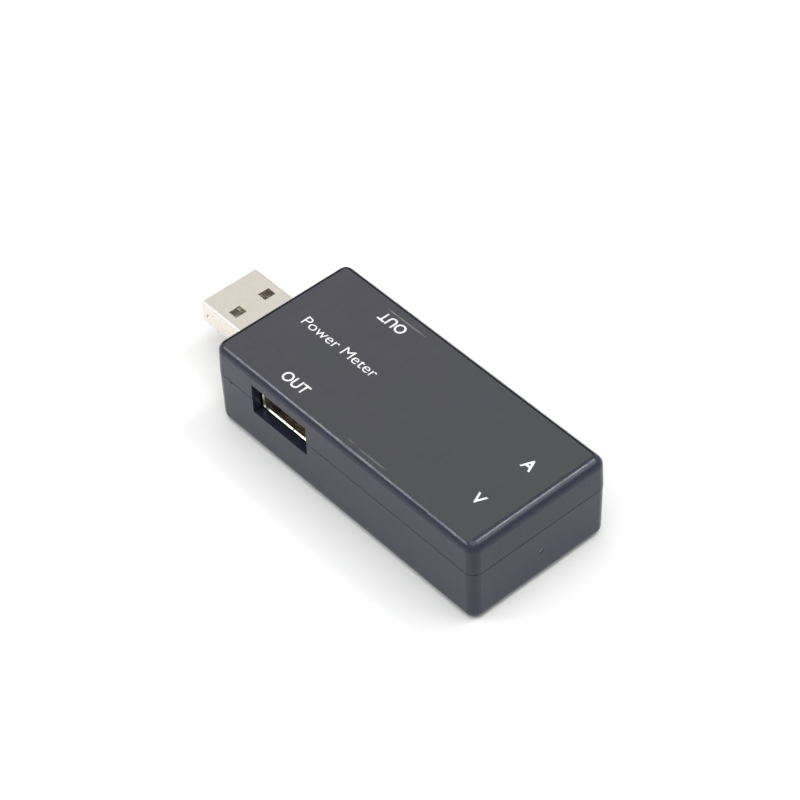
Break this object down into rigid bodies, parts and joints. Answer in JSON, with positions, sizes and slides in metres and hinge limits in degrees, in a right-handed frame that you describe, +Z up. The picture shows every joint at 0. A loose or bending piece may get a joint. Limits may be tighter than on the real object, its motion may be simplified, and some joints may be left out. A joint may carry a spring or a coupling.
{
  "type": "usb power meter",
  "caption": "Pocket in-line meter: type-A plug on one end, a type-A socket in each long side, LED displays under a dark glossy film on a black snap-fit case.",
  "frame": {"origin": "middle of the whole object's length and width, on the flat underside that it rests on", "axes": "+X along the case away from the plug, +Y towards the left side socket, +Z up through the display film"},
  "size_m": [0.076, 0.0286, 0.017],
  "materials": {
    "case_plastic": "satin black moulded ABS with a slight blue cast",
    "smoked_film": "glossy dark smoked polyester film with white printed legends",
    "adhesive": "thin black double-sided tape",
    "board": "green solder mask on glass-epoxy laminate",
    "nickel_shell": "nickel-plated stamped steel, satin, slightly warm",
    "black_insulator": "black glass-filled nylon",
    "pale_insulator": "natural, off-white glass-filled nylon",
    "gold_contact": "gold-flashed phosphor bronze",
    "display_grey": "dark grey display face and reflector body",
    "display_segment": "cast red-tinted epoxy, unlit",
    "tinned_metal": "tin-plated leads",
    "chip_black": "moulded epoxy",
    "capacitor_body": "tan ceramic and moulded tantalum",
    "solder": "bright tin solder"
  },
  "bodies": {
    "case": {"top_cover": "case_plastic", "bottom_case": "case_plastic", "front_film": "smoked_film", "film_adhesive": "adhesive", "circuit_board": "board", "plug_shell": "nickel_shell", "plug_insulator": "pale_insulator", "plug_contacts": "gold_contact", "volts_display_body": "display_grey", "volts_display_segments": "display_segment", "volts_display_pins": "tinned_metal", "amps_display_body": "display_grey", "amps_display_segments": "display_segment", "amps_display_pins": "tinned_metal", "meter_chip": "chip_black", "meter_chip_leads": "tinned_metal", "voltage_regulator": "chip_black", "regulator_leads": "tinned_metal", "current_shunts": "chip_black", "tank_capacitor": "capacitor_body", "chip_resistors": "chip_black", "chip_capacitors": "capacitor_body", "chip_end_caps": "tinned_metal", "solder_joints": "solder", "right_socket_shell": "nickel_shell", "right_socket_insulator": "black_insulator", "right_socket_tails": "gold_contact", "left_socket_shell": "nickel_shell", "left_socket_insulator": "black_insulator", "left_socket_tails": "gold_contact"},
    "right_contacts": {"right_socket_contacts": "gold_contact"},
    "right_upper_springs": {"right_socket_upper_springs": "nickel_shell"},
    "right_lower_springs": {"right_socket_lower_springs": "nickel_shell"},
    "left_contacts": {"left_socket_contacts": "gold_contact"},
    "left_upper_springs": {"left_socket_upper_springs": "nickel_shell"},
    "left_lower_springs": {"left_socket_lower_springs": "nickel_shell"}
  },
  "joints": [
    {"name": "right_contacts_flex", "type": "hinge", "parent": "case", "child": "right_contacts", "pos_m": [-0.00775, -0.00333, 0.0113], "axis": [-1, 0, 0], "range_deg": [0, 4], "stiffness_Nm_per_rad": 0.3},
    {"name": "right_upper_springs_flex", "type": "hinge", "parent": "case", "child": "right_upper_springs", "pos_m": [-0.00775, -0.01073, 0.0134], "axis": [1, 0, 0], "range_deg": [0, 3.5], "stiffness_Nm_per_rad": 0.35},
    {"name": "right_lower_springs_flex", "type": "hinge", "parent": "case", "child": "right_lower_springs", "pos_m": [-0.00775, -0.01073, 0.008], "axis": [-1, 0, 0], "range_deg": [0, 3.5], "stiffness_Nm_per_rad": 0.35},
    {"name": "left_contacts_flex", "type": "hinge", "parent": "case", "child": "left_contacts", "pos_m": [-0.00775, 0.00333, 0.0113], "axis": [1, 0, 0], "range_deg": [0, 4], "stiffness_Nm_per_rad": 0.3},
    {"name": "left_upper_springs_flex", "type": "hinge", "parent": "case", "child": "left_upper_springs", "pos_m": [-0.00775, 0.01073, 0.0134], "axis": [-1, 0, 0], "range_deg": [0, 3.5], "stiffness_Nm_per_rad": 0.35},
    {"name": "left_lower_springs_flex", "type": "hinge", "parent": "case", "child": "left_lower_springs", "pos_m": [-0.00775, 0.01073, 0.008], "axis": [1, 0, 0], "range_deg": [0, 3.5], "stiffness_Nm_per_rad": 0.35}
  ]
}
